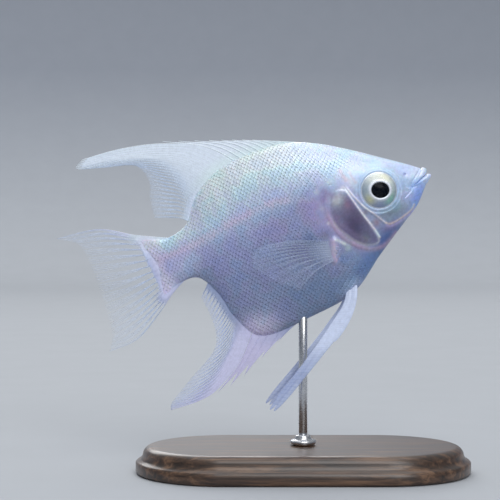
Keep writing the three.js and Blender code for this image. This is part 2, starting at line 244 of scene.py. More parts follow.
# Soft patches on top: place (x, z), half length, half height, turn in degrees, colour, strength.
PATCHES = [
    ((84, -4), 15, 13, 0, (196, 208, 226), 0.9),  # face
    ((84, 3), 13, 4, -32, (208, 218, 234), 0.9),  # forehead
    ((92, -3), 6, 3.4, -35, (196, 210, 236), 0.8),  # snout
    ((66, 12), 13, 8, -30, (206, 216, 230), 0.85),  # nape
    ((97, -6), 5, 4, 0, (214, 222, 248), 0.9),  # lips
    ((93.6, -9), 3.4, 2.2, 50, (172, 190, 236), 0.7),  # below the mouth
    ((92, -14), 7, 2.6, 52, (132, 164, 228), 0.8),  # chin
    ((82, -15.4), 7, 3, 8, (140, 156, 160), 0.85),  # cheek
    ((80, -13), 6, 1.4, 0, (166, 190, 204), 0.6),  # below the eye
    ((79.4, -19.6), 3.4, 1.6, 10, (176, 140, 146), 0.7),  # corner of the cheek
    ((76, -26), 10, 5.6, 40, (52, 88, 146), 0.95),  # throat
    ((66, -31), 8, 5, 35, (96, 132, 176), 0.75),  # breast
    ((58.5, -35.5), 4, 2.4, 20, (196, 208, 232), 0.6),  # pelvic fin bases
    ((46, -34), 14, 7, 0, (122, 136, 166), 0.7),  # belly
    ((57, -4), 7, 8, 0, (170, 152, 190), 0.75),  # shoulder
    ((44, -6), 13, 6, 10, (158, 150, 182), 0.6),  # behind the shoulder
    ((24, -10), 14, 8, -20, (150, 156, 190), 0.5),  # rear flank
    ((3, -5), 8, 7, 0, (204, 204, 228), 0.8),  # tail stalk
    ((3, 5), 8, 2.5, 20, (206, 224, 246), 0.8),  # its upper edge
    ((-6, -13), 6, 4, 60, (226, 216, 236), 0.9),  # its lower corner
    ((-9, 5), 5, 4, 0, (228, 220, 232), 0.8),  # its upper corner
    ((-6, -3), 3, 8, 0, (226, 216, 230), 0.75),  # its rear edge
    ((20, -39), 9, 6, 0, (226, 214, 234), 0.85),  # anal fin base
    ((14, 12), 4.5, 8, -35, (214, 206, 222), 0.5),  # pinkish rear edge of the back
]

# Small painted highlights (glints) and spots of other colours, some darker, round the gill cover:
# place, size, colour, strength.
GLINTS = [
    ((57.5, 1.5), 1.0, (232, 240, 250), 0.35), ((63.4, 3.1), 1.0, (236, 242, 246), 0.6),
    ((66.9, -0.4), 0.9, (240, 242, 248), 0.6), ((59, -1.5), 1.4, (138, 120, 176), 0.6),
    ((57.8, -10.6), 0.6, (226, 232, 236), 0.6), ((57.3, -4.8), 0.9, (196, 196, 216), 0.5),
    ((50.3, -13.3), 2.2, (98, 118, 152), 0.5), ((55.3, -14.4), 1.6, (112, 112, 134), 0.6),
    ((58.6, -25), 1.6, (84, 118, 190), 0.35), ((66.4, -6.9), 1.7, (150, 118, 150), 0.6),
    ((69.1, -20.6), 1.8, (104, 112, 124), 0.6), ((61.6, -21.4), 1.2, (196, 222, 220), 0.5),
]
CAST = (0.96, 1.04, 1.18)  # the blue of the light on the live fish, in linear light
BRIGHTEST = 0.94  # as linear light
LINE_SHADE = (216, 200, 216)  # of the lateral line
PORE_SHADE = (130, 138, 170)


def tint(x, z):
    """The body's markings, with painted shade darkening the flank below the back and the blue of
    the light, as linear colour, at places in the side view.
    """
    top, bottom = (np.interp(x, *edge.T) for edge in (BACK, BELLY))
    rise = np.clip((z - bottom) / np.maximum(top - bottom, 1), 0, 1)
    stops, tones_and_shade = zip(*FLANK_TONES_AND_SHADE)
    colour = joined(*(np.interp(rise, stops, tone) for tone in linear(tones_and_shade).T))
    for (cx, cz), length, height, turn, shade, strength in PATCHES:
        along, across = turned(x - cx, z - cz, -math.radians(turn))
        mask = strength * np.exp(-((along / length) ** 2 + (across / height) ** 2) ** 1.4)
        colour = blend(colour, linear(shade), mask)
    stripe = bead(distance_to(LATERAL_LINE, x, z), 1.5) * smooth(60, 40, x)
    colour = blend(colour, linear(LINE_SHADE), 0.75 * stripe)
    return np.clip(colour * CAST, 0, BRIGHTEST)


def mottle(x, z):
    """Uneven shade between -1 and 1 or so, from waves that cross each other, 1.1 to 4 percent
    long."""
    waves = np.random.default_rng(3).uniform((0, 1.1, 0), (np.pi, 4, 2 * np.pi), (14, 3))
    total = np.zeros(np.shape(x))
    for turn, length, phase in waves:
        total += np.sin((x * np.cos(turn) + z * np.sin(turn)) * 2 * np.pi / length + phase)
    return total / 4


def head_tint(x, z):
    """The body's markings and those that follow the bones of the head, with painted highlights
    round the gill cover.
    """
    line, spot = marks(x, z)
    cover = depth_in(OPERCLE, x, z)
    hollow = np.hypot((x - 66.6) * 0.9, (z + 14.6) * 0.6)
    low = smooth(1.2, -2.4, z)
    # Where a marking is, its colour, and its strength, from the first painted to the last.
    shades = [
        (smooth(0.6, -1.2, cover) * smooth(0, -5, z), (118, 108, 144), 0.88),
        (bead(hollow, 3.6), (66, 58, 98), 0.88),
        (spot((63.6, -3.6), 2.6), (214, 222, 228), 0.7),
        (line(GILL_EDGE, 1.0) * smooth(-4, -10, z), (190, 164, 190), 0.6),
        (bead(cover, 0.45) * smooth(-8, -12, z), (222, 214, 226), 0.5),
        (line(LOBE, 1.3), (206, 194, 220), 0.85),
        (line(OUTER_RIDGE, 0.34) * low, (236, 240, 250), 0.95),
        (line(INNER_RIDGE, 0.32) * low, (236, 238, 244), 0.85),
        (line(CHEEK_EDGE, 0.4), (232, 214, 196), 0.6),
        (bead(distance_to(CHEEK_EDGE, x, z + 0.8), 0.5), (196, 190, 236), 0.5),
        (spot((74.6, -16.4), 1.5), (156, 122, 128), 0.6),
        (spot((72, -11.6), 1.1), (150, 130, 140), 0.5),
        (line([(60, 1), (62.6, -1.6)], 1.3), (142, 118, 170), 0.5),
        (spot((70.5, 1), 2.4), (226, 228, 244), 0.6),
        (line([(68.6, 6), (69.2, 2)], 0.7), (224, 190, 204), 0.5),
        (line([(71.4, 4), (72.2, 0)], 0.6), (226, 196, 208), 0.45),
        # a painted highlight along the corner below the gill cover
        (line(SPARKLE, 0.6), (226, 240, 236), 0.7),
        (spot(NOSTRIL, 0.5), (150, 160, 200), 0.6),
    ]
    shades += [(spot(place, 0.3), PORE_SHADE, 0.3) for place in PORES]
    # painted highlights and other spots round the gill cover
    shades += [(spot(place, size), *look) for place, size, *look in GLINTS]
    colour = tint(x, z)
    for mask, shade, strength in shades:
        colour = blend(colour, linear(shade), strength * mask)
    uneven = 0.06 * mottle(x, z) * smooth(50, 60, x) * smooth(4, -4, z)
    return colour * (1 + uneven)[..., None]


# -------- body surface
def body_lines(t):
    """Top, widest and bottom places, half width and edge power of the sections at t."""
    return [spline([s[k] for s in SECTIONS], t) for k in range(5)]


BACK, _, BELLY, _, _ = body_lines(np.linspace(0, 1, 400))

SIDE_POINTS = 240  # along one side of a section, from top to bottom
TRUNK_ROWS, HEAD_ROWS = 44, 180
SIDE_SPREAD = 0.5  # draws a section's points from its edges towards its middle
_s = np.linspace(0, 1, SIDE_POINTS)
PHI = np.pi * (_s + SIDE_SPREAD * np.sin(2 * np.pi * _s) / (2 * np.pi))


def section(top, mid, bottom, half, power):
    """Points down one side of each section: an array of rows by places by (x, y, z)."""
    rise = np.cos(PHI)[None, :, None]
    edge = np.where(rise >= 0, (top - mid)[:, None], (bottom - mid)[:, None])
    flat = mid[:, None] + edge * np.abs(rise)
    out = half[:, None] * np.sin(PHI).clip(0)[None] ** power[:, None]
    return joined(flat[..., 0], out, flat[..., 1])


# The lips, as places round the mouth's edge in the middle plane, from the snout's end over each
# lip and into the mouth, with how far out the corner of the mouth stands at each.
UPPER_LIP = [(97.2, -3), (97.5, -3.4), (97.9, -3.15), (98.6, -3.3), (99.2, -3.9), (99.3, -4.7),
             (98.9, -5.4), (98.2, -5.9), (97, -6.3)]
LOWER_LIP = [(97.2, -9.6), (97.9, -9.1), (98.7, -8.5), (99.6, -7.8), (100.2, -7.1), (100.2, -6.5),
             (99.5, -6.1), (98.4, -6.1), (97, -6.35)]
CORNER = [(91.6, -8.8), (91.7, -8.7), (91.8, -8.6), (91.9, -8.5), (92.1, -8.45), (92.4, -8.4),
          (92.7, -8.3), (93, -8.1), (93.4, -7.9)]
CORNER_OUT = [3.0, 2.95, 3.05, 3.15, 3.15, 3.05, 2.85, 2.6, 2.2]
LIP_ROWS = 24
LIP_POWER = 0.9  # how round the lips' sections are


def relief(x, z):
    """How far the head's bones and folds stand out of the plain body shape. Each is a height or
    depth, in percent, times where it is."""
    line, spot = marks(x, z)
    rim = np.hypot(x - EYE[0], z - EYE[1]) - EYE_RADIUS
    cover = depth_in(OPERCLE, x, z)
    gill = distance_to(GILL_EDGE, x, z)
    low = smooth(0.4, -2.8, z)
    below = smooth(-3, -9, z + 0.3 * (x - EYE[0]))
    height = 0.12 * bead(rim - 0.5, 0.4)
    height -= 0.16 * bead(rim - 1.25, 0.3)
    height += 0.2 * below * bead(rim - 1.9, 0.4)
    height += 0.42 * smooth(0.3, -0.6, cover)
    height -= 0.42 * smooth(-0.7, -3.2, cover) * smooth(-3, -8, z)
    height += 0.24 * smooth(0.9, -0.3, gill) * smooth(1, -4, z)
    height -= 0.16 * bead(gill - 0.6, 0.5) * inside(SCALED, x, z)
    height += 0.34 * low * line(OUTER_RIDGE, 0.36)
    height += 0.28 * low * line(INNER_RIDGE, 0.34)
    height += 0.2 * line(CHEEK_EDGE, 0.36)
    height -= 0.22 * line(SNOUT_GROOVE, 0.3)
    height -= 0.22 * line(JAW_GROOVE, 0.35)
    height -= 0.4 * spot(NOSTRIL, 0.42)
    height += 0.15 * line([(57.9, -16.8), (60.7, -20.4)], 0.8)
    height += 0.75 * line(LOBE, 1.4)
    for place in PORES:
        height -= 0.16 * spot(place, 0.24)
    return height


def orbit(x, out, z):
    """The skin's half width with the rim round an eye and the socket in it."""
    eye = np.hypot(x - EYE[0], z - EYE[1])
    plane = EYE_LEVEL - math.tan(EYE_TURN) * (x - EYE[0])
    out = out + 0.85 * smooth(EYE_RADIUS + RIM_WIDTH, EYE_RADIUS + 0.3, eye) * (plane - out)
    return out - SOCKET_DEPTH * smooth(EYE_RADIUS, EYE_RADIUS - 1.2, eye)


def skin_side():
    """The bare body's surface on one side, from the tail over the body and lips into the mouth."""
    rows = np.concatenate([np.linspace(0, HEAD_START, TRUNK_ROWS)[:-1],
                           np.linspace(HEAD_START, 1, HEAD_ROWS)])
    body = section(*body_lines(rows))
    x, out, z = np.moveaxis(body, -1, 0)
    off_edges = smooth(0.02, 0.4, np.sin(PHI))[None]
    on_head = smooth(HEAD_START - 0.12, HEAD_START - 0.04, rows)[:, None]
    body[..., 1] = np.maximum(orbit(x, out, z) + relief(x, z) * off_edges * on_head, 0)
    body[0, :, 1] = 0
    t = np.linspace(0, 1, LIP_ROWS)[1:]
    lips = section(*(spline(p, t) for p in (UPPER_LIP, CORNER, LOWER_LIP, CORNER_OUT)),
                   np.full(len(t), LIP_POWER))
    side = np.concatenate([body, lips])
    side[:, [0, -1], 1] = 0
    return side


# -------- mesh making
def grid_corners(rows, columns):
    """Row and column of the four corners of each quad, in a grid with so many quads."""
    r, c = np.meshgrid(np.arange(rows), np.arange(columns), indexing="ij")
    return [(r, c), (r, c + 1), (r + 1, c + 1), (r + 1, c)]


def grid_quads(rows, columns, wrap=False):
    """Corner numbers of the quads of a grid, joined up along its columns if wrap is set."""
    corners = grid_corners(rows - 1, columns - (not wrap))
    return joined(*(a * columns + b % columns for a, b in corners)).reshape(-1, 4)


def rim_of(grid):
    """The numbers round the edge of a grid of numbers, its first row first."""
    return np.concatenate([grid[0], grid[1:, -1], grid[-1, -2::-1], grid[-2:0:-1, 0]])


def circle(around):
    return np.linspace(0, 2 * np.pi, around, endpoint=False)


def rings_of(profile, around):
    """Rings of points round the z axis, one for each (radius, height)."""
    x, y = np.cos(circle(around)), np.sin(circle(around))
    return np.array([joined(r * x, r * y, z) for r, z in profile])


def capped(rings):
    """A closed form from rings of points, with flat ends: points, and quads and ends."""
    rows, around = rings.shape[:2]
    first = np.arange(around)
    ends = np.stack([first[::-1], (rows - 1) * around + first])
    return rings.reshape(-1, 3), [grid_quads(rows, around, wrap=True), ends]


def repeated(faces, count, size):
    """The faces of count forms like one another, with so many points each."""
    shift = (np.arange(count) * size)[:, None, None]
    return [(group + shift).reshape(-1, group.shape[-1]) for group in faces]


def add_object(name, data):
    obj = bpy.data.objects.new(name, data)
    bpy.context.scene.collection.objects.link(obj)
    return obj


def make_piece(name, points, faces, material, slot, nodes=(), tints=None, uv=None,
               flat_from=None, **values):
    """A mesh piece from points in metres. faces is a list of arrays of corner numbers, and the
    arrays from flat_from on are shaded flat. values are what its points hold besides a tint."""
    mesh = bpy.data.meshes.new(name)
    mesh.from_pydata(points.tolist(), [], [f for group in faces for f in group.tolist()])
    if tints is not None:
        layer = mesh.color_attributes.new("tint", "FLOAT_COLOR", "POINT")
        rgba = np.concatenate([tints, np.ones((len(tints), 1))], axis=1)
        layer.data.foreach_set("color", rgba.astype(np.float32).ravel())
    for key, value in values.items():
        layer = mesh.attributes.new(key, "FLOAT", "POINT")
        layer.data.foreach_set("value", value.astype(np.float32))
    if uv is not None:
        layer = mesh.uv_layers.new(name="OFBake")
        layer.data.foreach_set("uv", uv.astype(np.float32).ravel())
    tidy_mesh(mesh)
    mesh.materials.append(material)
    shaded = np.arange(len(mesh.polygons)) < sum(len(group) for group in faces[:flat_from])
    mesh.polygons.foreach_set("use_smooth", shaded)
    obj = add_object(name, mesh)
    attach(obj, "root")
    if nodes:
        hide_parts(*nodes)


def tidy_mesh(mesh):
    """Joins points that meet and turns all faces outwards."""
    work = bmesh.new()
    work.from_mesh(mesh)
    bmesh.ops.remove_doubles(work, verts=work.verts, dist=1e-8)
    if work.calc_volume(signed=True) < 0:
        bmesh.ops.reverse_faces(work, faces=work.faces)
    work.to_mesh(mesh)
    work.free()


# -------- materials
class Node:
    """A shader node still to be made: its kind, the output to read, and its inputs and settings by
    name, with _ for a space, or by number. An input may be another node."""

    def __init__(self, kind, output=0, numbered=None, **named):
        self.kind, self.output, self.made = kind, output, None
        self.values = {**named, **(numbered or {})}

    def make(self, tree):
        """Makes the node and those that it reads, each only once."""
        if self.made is not None:
            return self.made
        self.made = tree.nodes.new("ShaderNode" + self.kind)
        for key, value in self.values.items():
            name = key if isinstance(key, int) else key.replace("_", " ")
            if isinstance(value, Node):
                source = value.make(tree).outputs[value.output]
                tree.links.new(source, self.made.inputs[name])
            elif key == "stops":
                set_stops(self.made.color_ramp.elements, value)
            elif isinstance(key, int) or name in self.made.inputs:
                self.made.inputs[name].default_value = value
            else:
                setattr(self.made, key, value)
        return self.made


def set_stops(points, stops):
    while len(points) < len(stops):
        points.new(0.5)
    for point, (place, colour) in zip(points, stops):
        point.position = place
        point.color = (*colour, 1)


def new_material(name, surface):
    """A material from the node of its surface."""
    made = bpy.data.materials.new(name)
    made.use_nodes = True
    made.node_tree.nodes.clear()
    Node("OutputMaterial", Surface=surface).make(made.node_tree)
    return made


def held(name, output="Fac"):
    """What a piece's points hold under a name."""
    return Node("Attribute", output, attribute_name=name)


def noise(scale, detail=3.0):
    """Noise of 0 to 1 through a piece's own space."""
    place = Node("TexCoord", "Object")
    return Node("TexNoise", Vector=place, Scale=scale, Detail=detail, Roughness=0.6)


def ramp(source, *stops):
    """A colour ramp read at source, with its stops as (place, colour)."""
    return Node("ValToRGB", Fac=source, stops=stops)


def times(a, b, factor):
    """One colour multiplied by another, as far as factor says."""
    inputs = {0: factor, 6: a, 7: b}
    return Node("Mix", 2, inputs, data_type="RGBA", blend_type="MULTIPLY")


def grained(colour, source, dark, light, strength):
    """A colour made lighter and darker by a noise."""
    return times(colour, ramp(source, (0.3, (dark,) * 3), (0.7, (light,) * 3)), strength)


def spread(source, low, high):
    """A value of 0 to 1 spread between low and high."""
    return Node("MapRange", Value=source, To_Min=low, To_Max=high)


def rough(colour, source, low, high, strength, depth, **inputs):
    """A surface with a roughness between low and high, and a bump, that follow a noise."""
    bump = Node("Bump", Strength=strength, Distance=depth, Height=source)
    return Node("BsdfPrincipled", Base_Color=colour, Roughness=spread(source, low, high),
                Normal=bump, **inputs)


def pearl(name, fineness, *grain, **inputs):
    """Markings broken up by pastel glints, a painted sheen standing in for the pearl's iridescence,
    that change from place to place. grain and inputs are what rough() takes."""
    pastel = ramp(noise(260, 2.0), (0.3, (0.72, 0.86, 1.0)), (0.42, (0.78, 1.0, 0.93)),
                  (0.5, (1.0, 0.97, 0.86)), (0.58, (1.0, 0.84, 0.92)), (0.7, (0.86, 0.82, 1.0)))
    colour = times(held("tint", "Color"), pastel, 0.4)
    colour = grained(colour, noise(2600, 2.0), 0.8, 1.15, 0.5)
    return new_material(name, rough(colour, noise(fineness), *grain, **inputs))


def fin_material(name, jointed):
    """Fin skin or rays, tinted and faded by what their points hold, with the rays' joints."""
    fine = noise(1600)
    colour = grained(held("tint", "Color"), fine, 0.86, 1.1, 0.6)
    if jointed:
        wave = Node("Math", operation="SINE", Value=held("joints"))
        bands = ramp(wave, (0, (1, 1, 1)), (0.8, (1, 1, 1)), (1, (0.8, 0.84, 0.9)))
        colour = times(colour, bands, 1.0)
    return new_material(name, rough(colour, fine, 0.3, 0.45, 0.3, 0.00003, Coat_Weight=0.2,
                                    Coat_Roughness=0.2, Alpha=held("opacity")))


def iris_material():
    fine = noise(2400)
    colour = grained(held("tint", "Color"), fine, 0.78, 1.15, 0.6)
    return new_material("iris", rough(colour, fine, 0.3, 0.5, 0.3, 0.00004, Coat_Weight=0.3,
                                      Coat_Roughness=0.1, Metallic=held("metal")))


def pupil_material():
    fine = noise(900)
    colour = ramp(fine, (0.3, (0.002, 0.003, 0.006)), (0.7, (0.004, 0.006, 0.011)))
    return new_material("pupil", Node("BsdfPrincipled", Base_Color=colour, IOR=1.15,
                                      Roughness=spread(fine, 0.1, 0.2)))


def cornea_material():
    """Clear, and glossy on its outside only."""
    clear, gloss = Node("BsdfTransparent"), Node("BsdfGlossy", Roughness=0.04)
    outside = Node("MixShader", 0, {0: Node("Fresnel", IOR=1.22), 1: clear, 2: gloss})
    behind = Node("NewGeometry", "Backfacing")
    return new_material("cornea", Node("MixShader", 0, {0: behind, 1: outside, 2: clear}))


def wood_material():
    place = Node("Mapping", Vector=Node("TexCoord", "Object"), Scale=(9, 130, 130))
    grain = Node("TexNoise", Vector=place, Scale=7.0, Detail=8.0, Roughness=0.65,
                 Distortion=0.6)
    colour = ramp(grain, (0.36, (0.016, 0.008, 0.0045)), (0.5, (0.055, 0.027, 0.014)),
                  (0.64, (0.15, 0.08, 0.043)))
    return new_material("walnut", rough(colour, grain, 0.3, 0.5, 0.25, 0.0001, Coat_Weight=0.4,
                                        Coat_Roughness=0.2))


def steel_material():
    brushed = noise(3000, 2.0)
    colour = ramp(brushed, (0.3, (0.5, 0.51, 0.53)), (0.7, (0.66, 0.67, 0.69)))
    return new_material("steel", rough(colour, brushed, 0.2, 0.34, 0.1, 0.00002, Metallic=1.0))


def floor_material():
    height = Node("SeparateXYZ", "Z", Vector=Node("TexCoord", "Object"))
    colour = ramp(height, (0, (0.4, 0.42, 0.45)), (0.3, (0.23, 0.25, 0.29)))
    colour = grained(colour, noise(40), 0.97, 1.0, 1.0)
    return new_material("floor_paper", Node("BsdfPrincipled", Base_Color=colour, Roughness=0.9))


# -------- skin
def build_skin():
    """Makes the skin, and gives the points of one of its sides."""
    side = skin_side()
    both = np.concatenate([side * (1, RIGHT, 1), side[:, -2:0:-1]], axis=1)
    rows, columns = both.shape[:2]
    uv = np.stack([joined(c / columns, r / (rows - 1))
                   for r, c in grid_corners(rows - 1, columns)], axis=-2)
    points = both.reshape(-1, 3)
    nodes = ("head", "upper_jaw", "lower_jaw", "gill_cover_right", "gill_cover_left", "trunk",
             "tail_stalk")
    material = pearl("pearl_skin", 1500, 0.28, 0.5, 0.35, 0.00006, Metallic=0.12,
                     Coat_Weight=0.35, Coat_Roughness=0.12, Subsurface_Weight=0.12,
                     Subsurface_Scale=0.0006)
    make_piece("skin", world(points), [grid_quads(rows, columns, wrap=True)], material,
               "pearl_skin", nodes, head_tint(points[:, 0], points[:, 2]), uv)
    return side


# -------- scales
SCALE_PITCH = 0.75  # from one column of scales to the next
SCALE_RISE = 2.1  # from one scale of a column to the next
COLUMNS_FROM, COLUMNS_TO = -9, 82
SCALE_LENGTH, SCALE_WIDTH = 2.3, 2.45
SCALE_LIFT = 0.034  # how high the free edge of a scale stands
ROOT_DEPTH = 0.05  # how deep the roots lie next to the head, where the scales sink into the skin
NAPE_DEPTH = 0.03  # how much deeper they lie on the nape
STREAKS = 400  # shades drawn for the columns of scales, more than there are columns
SCALE_MAP = 0.003  # how wide a scale is on the map of the skin
COAT_LIMIT = 190000  # triangles in one coat piece
ROD_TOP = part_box("stand_rod")[1].z
ROD_CLEAR = 1.25 * MM  # from the rod's middle to the roots of the nearest scales
BARE = [(LOBE, 1.7), (SPARKLE, 1.3), (GILL_EDGE, 1.6)]  # lines, and how far off scales stay


class Flank:
    """One side of the skin by x and by distance along the surface above the lateral line."""

    STEP = 0.25
    LOW, HIGH = -12.0, 96.0
    REACH = 56.0

    def __init__(self, side):
        rows, columns = side.shape[:2]
        self.x = np.arange(self.LOW, self.HIGH, self.STEP)
        self.arc = np.arange(-self.REACH, self.REACH, self.STEP)
        self.rear = side[0, ::-1, 2], side[0, ::-1, 0]
        u, v = np.arange(columns) / (2 * columns - 2), np.arange(rows) / (rows - 1)
        cuts = np.empty((3, len(self.x), columns))
        for k in range(columns):
            order = np.maximum.accumulate(side[:, k, 0])
            for cut, values in zip(cuts, (side[:, k, 1], side[:, k, 2], v)):
                cut[:, k] = np.interp(self.x, order, values)
        line = spline(LATERAL_LINE, np.linspace(0, 1, 200))
        middle = np.interp(self.x, line[:, 0], line[:, 1])
        self.table = np.empty((len(self.x), len(self.arc), 5))
        self.ends = np.empty((len(self.x), 2))
        for i, (out, z, map_v) in enumerate(cuts.transpose(1, 0, 2)):
            length = np.concatenate([[0], np.cumsum(np.hypot(np.diff(z), np.diff(out)))])
            arc = np.interp(-middle[i], -z, length) - length
            order = np.argsort(arc)
            self.ends[i] = arc[-1], arc[0]
            self.table[i, :, 0] = self.x[i]
            for k, values in enumerate((out, z, u, map_v), 1):
                self.table[i, :, k] = np.interp(self.arc, arc[order], values[order])

    def read(self, x, arc):
        """The surface at each x and arc: its place, and its two places on the map."""
        fx = np.clip((x - self.LOW) / self.STEP, 0, len(self.x) - 1.001)
        fa = np.clip((arc + self.REACH) / self.STEP, 0, len(self.arc) - 1.001)
        i, j = fx.astype(int), fa.astype(int)
        wx, wa = (fx - i)[:, None], (fa - j)[:, None]
        near = self.table[i, j] * (1 - wa) + self.table[i, j + 1] * wa
        far = self.table[i + 1, j] * (1 - wa) + self.table[i + 1, j + 1] * wa
        return near * (1 - wx) + far * wx

    def place(self, x, arc):
        return self.read(x, arc)[:, :3]

    def outward(self, x, arc, d=0.5):
        """The directions straight out of the surface."""
        back = unit(self.place(x - d, arc) - self.place(x + d, arc))
        up = unit(self.place(x, arc + d) - self.place(x, arc - d))
        out = unit(np.cross(up, back))
        return out * np.where(out[:, 1:2] < 0, -1, 1)

    def tail_edge(self, x, arc):
        """How far back the skin reaches at the height of each place."""
        return np.interp(self.place(x, arc)[:, 2], *self.rear)

    def room(self, x):
        """The lowest and the highest arc on the surface at each x."""
        return [np.interp(x, self.x, ends) for ends in self.ends.T]


def scale_shape():
    """One scale: (along, across, height) with along 0 at the root and 1 at the free edge."""
    rows = np.array([0, 0.3, 0.55, 0.75, 0.9, 1.0])
    columns = np.array([-1, -0.6, 0, 0.6, 1])
    a, b = np.meshgrid(rows, columns, indexing="ij")
    rear = np.sqrt(np.clip(1 - ((a - 0.5) / 0.54) ** 2, 0, 1))
    width = np.where(a < 0.5, 0.85 + 0.15 * np.sin(a * np.pi), rear)
    along = a - 0.06 * b**2 * smooth(0.5, 1, a)
    top = joined(along, b * width, a - 0.16 * b**2).reshape(-1, 3)
    below = len(top)
    rim = rim_of(np.arange(below).reshape(a.shape))
    fan = joined(rim, below, np.roll(rim, -1))
    return np.concatenate([top, [(0.5, 0, -1)]]), [grid_quads(*a.shape), fan]


def lattice(flank):
    """Roots of scales in staggered columns: x, arc."""
    columns = np.arange(COLUMNS_FROM, COLUMNS_TO, SCALE_PITCH)
    rows = np.arange(-flank.REACH + SCALE_RISE, flank.REACH - SCALE_RISE, SCALE_RISE)
    x, arc = np.meshgrid(columns, rows, indexing="ij")
    arc = arc + np.where(np.arange(len(columns)) % 2, SCALE_RISE / 2, 0)[:, None]
    x, arc = x.ravel(), arc.ravel()
    low, high = flank.room(x)
    keep = (arc > low + 0.3) & (arc < high - 0.3)
    return x[keep], arc[keep]


def scale_coat(flank, x, arc, small, lift, sunk):
    """Points, tints and map places of scales at these roots, on the side with y above 0. Each
    scale follows the skin below it, its root sunk in and its free edge a little raised."""
    shape, _ = scale_shape()
    count = len(x)
    jitter = RNG.normal(0, 1, (count, 4))  # in size, twist, lift and tilt
    length = SCALE_LENGTH * small
    size = (1 + 0.03 * jitter[:, 0])[:, None]
    along = shape[None, :, 0] * length[:, None] * size
    across = shape[None, :, 1] * (SCALE_WIDTH * small)[:, None] * size / 2
    twist = 0.03 * jitter[:, 1][:, None]
    at_x = (x[:, None] - along + twist * across).ravel()
    at_arc = (arc[:, None] + across + twist * along).ravel()
    at_arc = np.clip(at_arc, *flank.room(at_x))
    at_x = np.maximum(at_x, flank.tail_edge(at_x, at_arc) + 0.1)
    raised = (lift * (1 + 0.12 * jitter[:, 2]))[:, None] * (1.5 * shape[None, :, 2] - 0.5)
    raised += 0.006 * jitter[:, 3][:, None] * shape[None, :, 1]
    raised -= sunk[:, None] * (1 - shape[None, :, 2])
    points = flank.place(at_x, at_arc) + flank.outward(at_x, at_arc) * raised.reshape(-1, 1)
    centre = flank.place(x - length / 2, arc)
    streak = RNG.normal(0, 1, STREAKS)[np.round((x - x.min()) / SCALE_PITCH).astype(int)]
    upper = smooth(0, 12, centre[:, 2])
    shade = 1 + 0.03 * RNG.normal(0, 1, count) + 0.04 * upper * streak
    # Each scale is painted lighter towards its free edge: a painted highlight, which also offsets
    # the shade that falls between the scales.
    rim = np.maximum(shape[:, 0], 0.3 + 0.7 * np.abs(shape[:, 1]))
    edge = 0.94 + 0.36 * smooth(0.7, 1.0, rim)[None, :, None]
    tints = head_tint(centre[:, 0], centre[:, 2])[:, None] * edge * shade[:, None, None]
    return points.reshape(count, -1, 3), np.clip(tints, 0, 1), flank.read(x, arc)[:, 3:]


def add_coat(word, side, coat, material):
    """Makes the coat of one side in pieces under the limit."""
    points, tints, uv = coat
    shape, faces = scale_shape()
    count, size = points.shape[:2]
    each = 2 * len(faces[0]) + len(faces[1])
    share = math.ceil(count / math.ceil(count * each / COAT_LIMIT))
    patch = (shape[:, :2] * (1, 0.5) - (0.5, 0)) * SCALE_MAP
    for part, start in enumerate(range(0, count, share)):
        chosen = slice(start, min(start + share, count))
        groups = repeated(faces, chosen.stop - start, size)
        root = uv[chosen].copy()
        if side == LEFT:
            root[:, 0] = 1 - root[:, 0]
        corners = (root[:, None] + patch[None]).reshape(-1, 2)
        loops = np.concatenate([corners[group].reshape(-1, 2) for group in groups])
        make_piece(f"scales_{word}_{part + 1}",
                   world(points[chosen] * (1, side, 1)).reshape(-1, 3), groups, material,
                   "pearl_skin", tints=tints[chosen].reshape(-1, 3), uv=loops, flat_from=1)


def build_scales(side):
    flank = Flank(side)
    x, arc = lattice(flank)
    place = flank.place(x, arc)
    seat = world(place)
    by_rod = (np.hypot(seat[:, 0], seat[:, 1]) < ROD_CLEAR) & (seat[:, 2] < ROD_TOP)
    along, out, z = place.T
    keep = inside(SCALED, along, z) & ~by_rod & (out > 0.15)
    keep &= x > flank.tail_edge(x, arc) + 1.4
    for path, clearance in BARE:
        keep &= distance_to(path, along, z) > clearance
    x, arc, z = x[keep], arc[keep], z[keep]
    edge = smooth(0, 7, distance_to(HEAD_LINE, along[keep], z))
    nape = smooth(50, 66, x) * smooth(6, 14, z)
    # Scales are smaller towards the tail, on the head, next to it, and on the breast.
    small = 1 - 0.1 * smooth(12, -4, x) - 0.15 * smooth(58, 74, x)
    small *= 0.85 + 0.15 * edge
    small -= 0.15 * smooth(-22, -36, z) * smooth(40, 60, x)
    lift = SCALE_LIFT * (0.4 + 0.6 * edge) * (1 - 0.5 * nape)
    sunk = ROOT_DEPTH * (1 - edge) + NAPE_DEPTH * nape
    coat = scale_coat(flank, x, arc, small, lift, sunk)
    material = pearl("pearl_scales", 1800, 0.3, 0.5, 0.4, 0.00005, Metallic=0.2,
                     Coat_Weight=0.3, Coat_Roughness=0.2)
    for word, which in SIDES:
        add_coat(word, which, coat, material)
    print("scales on a side:", len(x))


